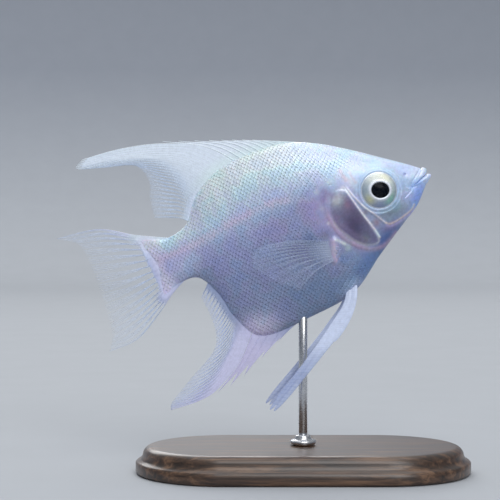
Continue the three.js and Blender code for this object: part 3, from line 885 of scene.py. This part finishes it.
# -------- fins
# Guides run from root to tip, from a fin's first ray to its last. cloud is how opaque the fin is
# at seven places from its first ray to its last, reach is how far along its rays that lasts, and
# veil is what is left of it beyond. crowd draws the rays towards the first one, teeth is how far
# the edge of a spiny fin falls back behind each tip, and bones is how opaque its rays stay.
MIDDLE_FINS = {
    "dorsal_spines": dict(
        node="dorsal_fin_spines", rays=12, crowd=1.15, teeth=0.22,
        reach=(2,) * 7, cloud=(1,) * 7, veil=1,
        colours=((232, 241, 254), (234, 242, 255)),
        guides=[
            [(61, 17), (58, 21), (55, 22.7)],
            [(53, 19), (47.5, 25), (41.5, 28.4)],
            [(44.4, 20), (37, 28.2), (28.4, 33)],
            [(36.5, 19.5), (26, 31), (10.8, 39)],
        ]),
    "dorsal_rays": dict(
        node="dorsal_fin_rays", rays=27,
        reach=(2, 0.85, 0.52, 0.34, 0.22, 0.12, 0.08), veil=0.05,
        cloud=(1, 1, 0.95, 0.85, 0.7, 0.5, 0.4),
        colours=((230, 240, 254), (212, 230, 254)),
        guides=[
            [(36.2, 18.8), (25.8, 31), (10.4, 38.2), (-5, 41.7), (-19.8, 42.8)],
            [(29, 17.5), (16, 31.5), (-4, 38.2), (-22.6, 40.2)],
            [(25, 16), (15, 28), (3, 34.4), (-13.2, 37.3)],
            [(21.5, 14), (13, 24.5), (5, 29.8), (-2.1, 34.2)],
            [(18.5, 11.5), (11.5, 20), (6, 24), (1, 27)],
            [(16, 8.5), (10, 15), (4.5, 18), (-0.9, 20.5)],
            [(12.5, 5), (7.5, 9.8), (3, 11.8), (-1.6, 13.4)],
        ]),
    "anal_spines": dict(
        node="anal_fin_spines", rays=6, teeth=0.3,
        reach=(2,) * 7, cloud=(0.8, 0.9, 0.95, 1, 1, 1, 1), veil=1,
        colours=((206, 202, 234), (200, 212, 246)),
        guides=[
            [(40, -38), (37, -40.6), (33, -42.1)],
            [(32, -38.5), (28, -43), (20.6, -47.8)],
            [(26, -38.5), (16.5, -46), (7.4, -54)],
            [(20, -37), (10.5, -47.6), (-1.4, -55.5)],
        ]),
    "anal_rays": dict(
        node="anal_fin_rays", rays=28,
        reach=(0.75, 0.5, 0.25, 0.16, 0.14, 0.12, 0.1), veil=0.05,
        cloud=(1, 1, 0.85, 0.7, 0.6, 0.5, 0.4),
        colours=((212, 212, 242), (196, 212, 250)),
        guides=[
            [(19.6, -36.5), (10, -47.4), (-1, -54.2), (-9, -56.1), (-20.4, -55.8)],
            [(17.4, -34), (6.5, -45), (-4, -51), (-18.6, -53)],
            [(17.4, -31.5), (9, -41), (0, -46), (-9.5, -47.4)],
            [(17, -28.5), (11.5, -35.6), (6.5, -39.2), (1.6, -41)],
            [(16.6, -24.5), (12, -30), (8.5, -33), (5, -35)],
            [(14, -19), (10.5, -24), (7.8, -26.4), (5.4, -28.4)],
            [(11, -13), (8, -17), (6, -19), (4.6, -20.6)],
        ]),
    "tail": dict(
        node="tail_fin", rays=17,
        reach=(0.45, 0.2, 0.12, 0.1, 0.08, 0.08, 0.2), veil=0.04,
        cloud=(0.95, 0.8, 0.7, 0.65, 0.65, 0.75, 0.9),
        colours=((222, 224, 246), (208, 224, 250)),
        guides=[
            [(3, 3.4), (-10.4, 9.6), (-22.7, 16.4), (-38.4, 18.4)],
            [(2, 1), (-10, 6.3), (-21, 10.9), (-31.5, 13.6)],
            [(2, -2), (-9.5, 0.8), (-19.5, 3.3), (-30, 5.4)],
            [(2, -5), (-9.5, -5.2), (-19.5, -5.4), (-29.8, -4.4)],
            [(2, -8), (-9, -10.6), (-19, -13.2), (-30.4, -14.8)],
            [(2, -10), (-8.5, -14.8), (-19.5, -19.4), (-31.2, -22.4)],
            [(2, -11.6), (-5, -15.4), (-12.5, -20.8), (-23, -26.8), (-34.3, -27.6)],
        ]),
}
PECTORAL = dict(
    rays=12, reach=(0.1,) * 7, cloud=(0.4,) * 7, veil=0.06,
    bones=0.22, colours=((214, 222, 240), (190, 204, 232)),
    guides=[
        [(58, 7.2, -18), (49.5, 9, -14.4), (40.9, 10.2, -11.3)],
        [(57.6, 7.2, -19.2), (44, 9.6, -13.8), (31, 11.2, -10.4)],
        [(57.4, 7.1, -20.6), (42, 9.7, -16), (26, 11.6, -13.6)],
        [(57.4, 6.9, -22.2), (43, 9.4, -19.6), (28, 11.2, -20)],
        [(57.6, 6.6, -24), (48, 8.6, -25.4), (39, 9.8, -30)],
    ])

FIN_STEPS = 44  # along a ray
ALONG = np.linspace(0, 1, FIN_STEPS)
WEB_STEPS = 4  # across the skin between two rays
RAY_SIDES = 6
JOINT = 0.9  # percent between two joints of a soft ray
STRANDS = np.array([-1.5, -0.5, 0.5, 1.5]) / 4  # across a soft ray's share of the fin
STRAND_THICKNESS = (0.88, 1.0, 0.94, 0.82)


def fan_out(guides, across, along):
    """Places on a fin: across (lines by steps) runs from its first ray to its last."""
    p = extended([spline(g, along) for g in guides])
    x = np.clip(across, 0, 1) * (len(guides) - 1)
    i = np.minimum(x.astype(int), len(p) - 4)
    j = np.arange(FIN_STEPS)
    return between(*(p[i + k, j] for k in range(4)), (x - i)[..., None])


def tubes(lines, radii):
    """Closed tapered tubes along lines (tubes by steps by 3): points, and quads and ends."""
    tangent = unit(np.gradient(lines, axis=1))
    side = unit(np.cross(tangent, (0.0, 1.0, 0.0)))
    other = unit(np.cross(side, tangent))
    angle = circle(RAY_SIDES)[:, None]
    ring = side[:, :, None] * np.cos(angle) + other[:, :, None] * np.sin(angle)
    points = lines[:, :, None] + ring * radii[:, :, None, None]
    one, faces = capped(points[0])
    return points.reshape(-1, 3), repeated(faces, len(lines), len(one))


def cloudiness(fin, across, along):
    places = np.linspace(0, 1, 7)
    reach = np.interp(across, places, fin["reach"])
    return np.interp(across, places, fin["cloud"]) * smooth(reach + 0.3, reach - 0.1, along)


def with_body(tints, places):
    """Fin tints that take up the body's own next to it, and how near the body each place is."""
    x, z = places[..., 0], places[..., 2]
    away = np.minimum(distance_to(BACK[::8], x, z), distance_to(BELLY[::8], x, z))
    outline = np.concatenate([BACK, BELLY[::-1]])
    away = np.where(inside(outline, x, z) & (np.abs(places[..., 1]) < 1), 0, away)
    return blend(tints, tint(x, z), 0.8 * smooth(5, 0.5, away)), smooth(4.2, 0, away) ** 1.5


def ray_places(fin, count):
    """Places across a fin, closer together at one side of it where its rays crowd."""
    return np.linspace(0, 1, count) ** fin.get("crowd", 1)


def fin_web(name, fin, guides, thin, nodes):
    """The thin skin between a fin's rays. Its edge falls back between the rays' tips."""
    columns = (fin["rays"] - 1) * WEB_STEPS + 1
    across = ray_places(fin, columns)
    phase = (np.arange(columns) % WEB_STEPS) / WEB_STEPS
    teeth = fin.get("teeth", 0)
    notch = np.where(phase > 0, teeth * (1 - phase), 0) + 0.03 * np.sin(np.pi * phase)
    sheet = np.stack([fan_out(guides, np.full((1, FIN_STEPS), c), ALONG * (0.985 - n))[0]
                      for c, n in zip(across, notch)])
    ripple = 0.06 * np.sin(2 * np.pi * phase)[:, None] * ALONG
    thick = 0.09 - 0.05 * ALONG  # to one side, in percent
    both = np.stack([sheet + thin * (s * thick + ripple)[..., None] for s in (-1, 1)])
    front, other = grid_quads(columns, FIN_STEPS), columns * FIN_STEPS
    rim = rim_of(np.arange(other).reshape(columns, FIN_STEPS).T)
    after = np.roll(rim, -1)
    edge = joined(rim, after, after + other, rim + other)
    cloud = cloudiness(fin, across[:, None], ALONG[None])
    low, high = linear(fin["colours"])
    tints, near = with_body(blend(high, low, cloud), sheet)
    opacity = np.maximum(fin["veil"] + (1 - fin["veil"]) * cloud, near)
    make_piece(f"{name}_web", world(both.reshape(-1, 3)), [front, front[:, ::-1] + other, edge],
               MATERIALS["web"], "fin", nodes, np.tile(tints.reshape(-1, 3), (2, 1)),
               opacity=np.tile(opacity.ravel(), 2))


def fin_rays(name, fin, guides, nodes):
    """A fin's spines, or its soft rays, which part into strands on the way out."""
    place = ray_places(fin, fin["rays"])
    if "teeth" in fin:
        across = np.repeat(place[:, None], FIN_STEPS, axis=1)
        radii = np.repeat([0.3 * (1 - ALONG) ** 0.6 + 0.05], len(across), axis=0)
    else:
        split = (0.12 + 0.78 * smooth(0.25, 1.0, ALONG)) / (fin["rays"] - 1)
        across = place[:, None, None] + STRANDS[None, :, None] * split
        across = np.clip(across, 0, 1).reshape(-1, FIN_STEPS)
        radii = np.repeat([0.15 - 0.1 * ALONG], len(across), axis=0)
        extra = np.arange(len(across)) % len(STRANDS) != 1
        radii[extra] *= smooth(0.16, 0.45, ALONG) + 0.03
        radii *= np.tile(STRAND_THICKNESS, fin["rays"])[:, None]
    lines = fan_out(guides, across, ALONG)
    points, faces = tubes(lines, radii)
    cloud = cloudiness(fin, across, ALONG[None] * 0.8)
    low, high = linear(fin["colours"])
    tints, near = with_body(blend(high, np.minimum(low * 1.06, 1), cloud), lines)
    bones = fin.get("bones", 0.3)
    flecks = RNG.random(lines.shape[:2]) ** 2 * (1 - cloud) * bones * (ALONG > 0.25)
    opacity = np.clip(np.maximum(bones + (1 - bones) * cloud, near) + flecks, 0, 1)
    length = np.cumsum(np.linalg.norm(np.gradient(lines, axis=1), axis=-1), axis=1)
    make_piece(f"{name}_rays", world(points), faces, MATERIALS["ray"], "fin", nodes,
               np.repeat(tints.reshape(-1, 3), RAY_SIDES, axis=0),
               opacity=np.repeat(opacity.ravel(), RAY_SIDES),
               joints=np.repeat((length / JOINT * 2 * np.pi).ravel(), RAY_SIDES))


# The pelvic fins are straps of close-set rays: front and back edge, then the spine before them.
PELVIC_FRONT = [(60.6, 0.9, -30.5), (58.2, 3, -41), (50.6, 4.3, -48.6), (38, 5.9, -56.4),
                (16.6, 6.8, -69.2)]
PELVIC_BACK = [(58, 0.8, -30.5), (54, 2.7, -39.4), (45.4, 4, -46.4), (33, 5.6, -54.9),
               (13.6, 6.4, -66.9)]
PELVIC_SPINE = [(61, 0.9, -30.5), (60, 2.3, -37), (57, 3.4, -42.8), (52.2, 4.3, -48),
                (45.6, 5, -52.8)]
LEFT_SWING = math.radians(-1.6)  # the left fin trails a little
STRAP_STEPS, STRAP_AROUND = 64, 28  # rings, and points in a ring
STRAP_BASE, STRAP_TIP = (212, 222, 247), (184, 198, 236)
STRAP_JOINTS = 60  # along a strap


def strap(front, back, thick, ribs):
    """A flat tapered form between two edge curves, with ribs along it and a rounded end. Also
    gives how far along each of its points is."""
    t = 1 - (1 - np.linspace(0, 1, STRAP_STEPS)) ** 1.6
    a, b = spline(front, t), spline(back, t)
    end = np.sqrt(np.clip(1 - np.clip((t - 0.9) / 0.101, 0, 1) ** 2, 0, 1))[:, None]
    across, rise = np.cos(circle(STRAP_AROUND)), np.sin(circle(STRAP_AROUND))
    rib = 1 + 0.16 * np.cos(ribs * np.pi * across) * np.abs(rise)
    taper = thick * (1 - 0.45 * t)[:, None]
    rings = ((a + b) / 2)[:, None] + ((a - b) / 2)[:, None] * (across * end)[..., None]
    rings[..., 1] += taper * end * rise * rib
    return *capped(rings), np.repeat(t, STRAP_AROUND)


def build_pelvic(word, side):
    front, back, spine = (np.array(p) * (1, side, 1) for p in
                          (PELVIC_FRONT, PELVIC_BACK, PELVIC_SPINE))
    hinge = front[0]
    width = back - front
    straps = [(front, front + 0.6 * width, 0.5, 7), (front + 0.42 * width, back, 0.46, 7),
              (spine, spine + 0.42 * width, 0.52, 2)]
    for number, shape in enumerate(straps):
        points, faces, t = strap(*shape)
        if side == LEFT:
            x, out, z = (points - hinge).T
            x, z = turned(x, z, LEFT_SWING)
            points = joined(x, out, z) + hinge
        fade = smooth(0.62, 0.9, t) * (number < 2)
        make_piece(f"pelvic_{word}_{number + 1}", world(points), faces, MATERIALS["ray"], "fin",
                   (f"pelvic_fin_{word}",), blend(linear(STRAP_BASE), linear(STRAP_TIP), fade),
                   opacity=1 - 0.45 * fade, joints=t * STRAP_JOINTS * 2 * np.pi)


def build_fin(name, fin, guides, thin, node):
    fin_web(name, fin, guides, np.array(thin), (node,))
    fin_rays(name, fin, guides, (node,))


def build_fins():
    for name, fin in MIDDLE_FINS.items():
        guides = [[(x, 0.0, z) for x, z in g] for g in fin["guides"]]
        build_fin(name, fin, guides, (0.0, 1.0, 0.0), fin["node"])
    for word, side in SIDES:
        guides = [[(x, side * y, z) for x, y, z in g] for g in PECTORAL["guides"]]
        build_fin(f"pectoral_{word}", PECTORAL, guides, (0.1, side, 0.0), f"pectoral_fin_{word}")
        build_pelvic(word, side)


# -------- eyes
EYE_AROUND = 96  # points in a ring
PUPIL_STRETCH = (1.07, 0.94)  # the pupil is a little longer than high
IRIS = [(0, 0.2), (2.6, 0.22), (PUPIL_RADIUS - 0.15, 0.3), (PUPIL_RADIUS, 0.42),
        (PUPIL_RADIUS + 0.12, 0.5), (PUPIL_RADIUS + 0.4, 0.52), (PUPIL_RADIUS + 0.8, 0.44),
        (4.6, 0.38), (5.2, 0.3), (5.8, 0.2), (6.3, 0.08), (6.6, 0), (EYE_RADIUS, -0.1),
        (EYE_RADIUS, -1.2), (5.4, -2.2), (3, -2.8), (0, -3)]
LENS = [(0, 0.98), (0.8, 0.95), (1.6, 0.84), (2.3, 0.66), (2.8, 0.5), (PUPIL_RADIUS, 0.3),
        (PUPIL_RADIUS - 0.1, 0.1), (2, 0), (0, 0)]
DOME_RISE, DOME_WIDTH, DOME_DROP = 1.5, 7.0, 0.48  # the oval that the cornea is part of
CORNEA_THICK = 0.1
# Stretches of colour round the iris: middle and half width in degrees, colour, strength.
IRIS_ARCS = [
    (60, 50, (206, 204, 172), 0.8), (20, 30, (188, 206, 214), 0.6),
    (120, 45, (190, 194, 186), 0.7), (185, 35, (136, 158, 178), 0.6),
    (228, 24, (210, 208, 140), 0.75), (275, 40, (120, 134, 172), 0.8),
    (322, 26, (130, 196, 172), 0.75),
]
IRIS_BASE, IRIS_RING = (172, 184, 192), (236, 240, 250)
IRIS_DARK, IRIS_RIM = (74, 92, 150), (222, 228, 240)


def disc(profile):
    """A closed form turned round the y axis: profile is (radius, out) from the middle of its
    front to the middle of its back."""
    rings = rings_of(profile[1:-1], EYE_AROUND)[..., (0, 2, 1)].reshape(-1, 3)
    points = np.concatenate([rings, [(0, profile[0][1], 0), (0, profile[-1][1], 0)]])
    size, k = len(rings), np.arange(EYE_AROUND)
    after, last = (k + 1) % EYE_AROUND, size - EYE_AROUND
    ends = [joined(size, after, k), joined(size + 1, last + k, last + after)]
    return points, [grid_quads(len(profile) - 2, EYE_AROUND, wrap=True), *ends]


def eye_place(points, side):
    """Points of an eye, in its own frame, turned and put in the head."""
    ahead, out, rise = points.T
    ahead, out = turned(ahead, out, -EYE_TURN)
    return world(joined(ahead + EYE[0], side * (out + EYE_LEVEL), rise + EYE[1]))


def pupil_shaped(points):
    """Draws the middle of an eye into the pupil's shape: level, longish and a little forward."""
    x, out, z = points.T
    near = 1 - smooth(PUPIL_RADIUS + 0.3, EYE_RADIUS - 0.6, np.hypot(x, z))
    flat, rise = (length * (1 + (stretch - 1) * near) for length, stretch in
                  zip(turned(x, z, PITCH), PUPIL_STRETCH))
    x, z = turned(flat, rise, -PITCH)
    return joined(x + near * (PUPIL[0] - EYE[0]), out, z + near * (PUPIL[1] - EYE[1]))


def iris_values(points):
    """The tint and metal of an iris: silvery, with stretches of other colours and a bright ring
    round the pupil."""
    x, _, z = points.T
    radius = np.hypot(x, z)
    a = np.degrees(np.arctan2(z, x) + PITCH) % 360
    tints = np.tile(linear(IRIS_BASE), (len(radius), 1))
    for middle, width, shade, strength in IRIS_ARCS:
        off = np.abs((a - middle + 180) % 360 - 180)
        tints = blend(tints, linear(shade), strength * bead(off, width) * bead(radius - 5.3, 1.5))
    dark = (0.1 + 0.5 * (0.5 - 0.5 * np.sin(np.radians(a)))) * bead(radius - 6.1, 0.3)
    tints = blend(tints, linear(IRIS_RING), bead(radius - PUPIL_RADIUS - 0.4, 0.42))
    tints = blend(tints, linear(IRIS_DARK), dark)
    tints = blend(tints, linear(IRIS_RIM), 0.8 * smooth(6.35, 6.6, radius))
    hidden = smooth(PUPIL_RADIUS, PUPIL_RADIUS - 0.1, radius)
    return {"tints": tints * (1 - 0.97 * hidden[:, None]), "metal": 0.55 * (1 - hidden)}


def build_eyes():
    dome = [(r, DOME_RISE * math.sqrt(1 - (r / DOME_WIDTH) ** 2) - DOME_DROP)
            for r in np.linspace(0, EYE_RADIUS - 0.05, 16)]
    cornea = dome + [(r, y - CORNEA_THICK) for r, y in dome[::-1]]
    parts = [("iris", IRIS, iris_material()), ("pupil", LENS, pupil_material()),
             ("cornea", cornea, cornea_material())]
    for word, side in SIDES:
        for part, profile, material in parts:
            points, faces = disc(profile)
            values = iris_values(points) if part == "iris" else {}
            slot = "cornea" if part == "cornea" else "eye"
            if slot == "eye":
                points = pupil_shaped(points)
            make_piece(f"{part}_{word}", eye_place(points, side), faces, material, slot,
                       (f"eye_{word}",), **values)


# -------- stand
BASE_FOOT = [(0.0006, 0), (0.0001, 0.0003), (0, 0.0006), (0, 0.0021), (0.0003, 0.0024),
             (0.0009, 0.0026), (0.0011, 0.003)]  # how far in, and height, in metres
BASE_STEP = 0.0013  # how far in its upper part stands
BASE_ROUND = 0.0016  # the radius of its upper edge
BASE_AROUND, STEEL_AROUND = 72, 64  # points in a ring


def stadium(half, radius, z):
    """Points of a slab outline with round ends, at one height, in metres."""
    angle = circle(BASE_AROUND) + 1e-6
    x = radius * np.cos(angle) + half * np.sign(np.cos(angle))
    return joined(x, radius * np.sin(angle), z)


def build_stand():
    low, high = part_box("stand_base")
    radius = (high.y - low.y) / 2
    half = (high.x - low.x) / 2 - radius
    rounded = [(BASE_STEP + BASE_ROUND * (1 - math.cos(a)), high.z + BASE_ROUND * (math.sin(a) - 1))
               for a in np.radians(np.linspace(0, 90, 7))]
    flat = radius - BASE_STEP - BASE_ROUND
    rings = [stadium(half * 0.9, radius * 0.9, 0)]
    rings += [stadium(half, radius - inset, z) for inset, z in BASE_FOOT + rounded]
    rings += [stadium(half * s, flat * s, high.z) for s in (0.97, 0.6, 0.2)]
    points, faces = capped(np.array(rings))
    make_piece("base_wood", points, faces, wood_material(), "stand_wood", ("stand_base",))
    steel = steel_material()
    for part, profile in (("collar", collar_profile), ("rod", rod_profile)):
        cad = f"stand_{part}"
        points, faces = capped(rings_of(profile(*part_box(cad)), STEEL_AROUND))
        make_piece(f"{part}_steel", points, faces, steel, "stand_steel", (cad,))


def collar_profile(low, high):
    r = high.x
    step = low.z + 0.45 * (high.z - low.z)
    return [(r * 0.9, low.z - 0.0002), (r - 0.0001, low.z), (r, low.z + 0.0002),
            (r, step - 0.0002), (r - 0.0002, step), (r * 0.7, step), (r * 0.62, step + 0.0002),
            (r * 0.6, high.z - 0.0003), (r * 0.55, high.z), (r * 0.4, high.z)]


def rod_profile(low, high):
    r = high.x
    return [(r * 0.7, low.z - 0.0003), (r, low.z), (r, high.z - 0.0002), (r * 0.8, high.z)]


# -------- stage
FLOOR_FLAT = [(r, 0.0) for r in (0.02, 0.3, 0.8, 1.3)]  # radius and height, in metres
FLOOR_CURVE = 0.5  # radius of the curve where the floor turns up
FLOOR_TOP = 0.65
FLOOR_AROUND = 96


def build_stage():
    """A pale floor that curves up all round, so every view has the same plain ground."""
    edge = FLOOR_FLAT[-1][0]
    profile = FLOOR_FLAT + [
        (edge + FLOOR_CURVE * math.sin(a), FLOOR_CURVE * (1 - math.cos(a)))
        for a in np.radians(np.arange(10, 91, 10))] + [(edge + FLOOR_CURVE, FLOOR_TOP)]
    points, (quads, ends) = capped(rings_of(profile, FLOOR_AROUND))
    mesh = bpy.data.meshes.new("floor")
    mesh.from_pydata(points.tolist(), [], quads.tolist() + ends[:1].tolist())
    mesh.polygons.foreach_set("use_smooth", np.ones(len(mesh.polygons), bool))
    mesh.materials.append(floor_material())
    add_object("floor", mesh)


# Name, direction from the fish to the light, strength, and width in degrees.
LIGHTS = [("key", (0.15, -0.75, 0.8), 1.3, 40), ("top", (0.0, 0.1, 1.0), 0.9, 50),
          ("front", (0.5, -1.0, 0.35), 0.9, 30), ("back", (-0.3, 1.0, 0.6), 1.3, 40)]


def build_lights():
    for name, toward, strength, width in LIGHTS:
        light = bpy.data.lights.new(name, "SUN")
        light.energy = strength
        light.angle = math.radians(width)
        obj = add_object(name, light)
        obj.rotation_euler = Vector(toward).to_track_quat("Z", "Y").to_euler()
    studio = bpy.data.worlds.new("studio")
    studio.use_nodes = True
    background = studio.node_tree.nodes["Background"]
    background.inputs["Color"].default_value = (0.9, 0.95, 1.0, 1)
    background.inputs["Strength"].default_value = 0.42
    bpy.context.scene.world = studio


CAMERA_LENS, CAMERA_SENSOR = 100.0, 36.0  # mm
VIEW_WIDTH = 92.8 * MM  # what the picture spans at the fish
CAMERA_LEVEL = 41.2 * MM
CAMERA_ACROSS = -9.84 * MM


def build_camera():
    camera = bpy.data.cameras.new("camera")
    camera.lens = CAMERA_LENS
    camera.sensor_width = CAMERA_SENSOR
    camera.clip_start = 0.005
    camera.clip_end = 10
    obj = add_object("camera", camera)
    obj.location = (CAMERA_ACROSS, -VIEW_WIDTH * CAMERA_LENS / CAMERA_SENSOR, CAMERA_LEVEL)
    obj.rotation_euler = (math.pi / 2, 0, 0)
    bpy.context.scene.camera = obj


MATERIALS = {"web": fin_material("fin_web", False), "ray": fin_material("fin_ray", True)}
build_camera()
build_scales(build_skin())
build_fins()
build_eyes()
build_stand()
build_stage()
build_lights()
bpy.context.scene.view_settings.view_transform = "Standard"
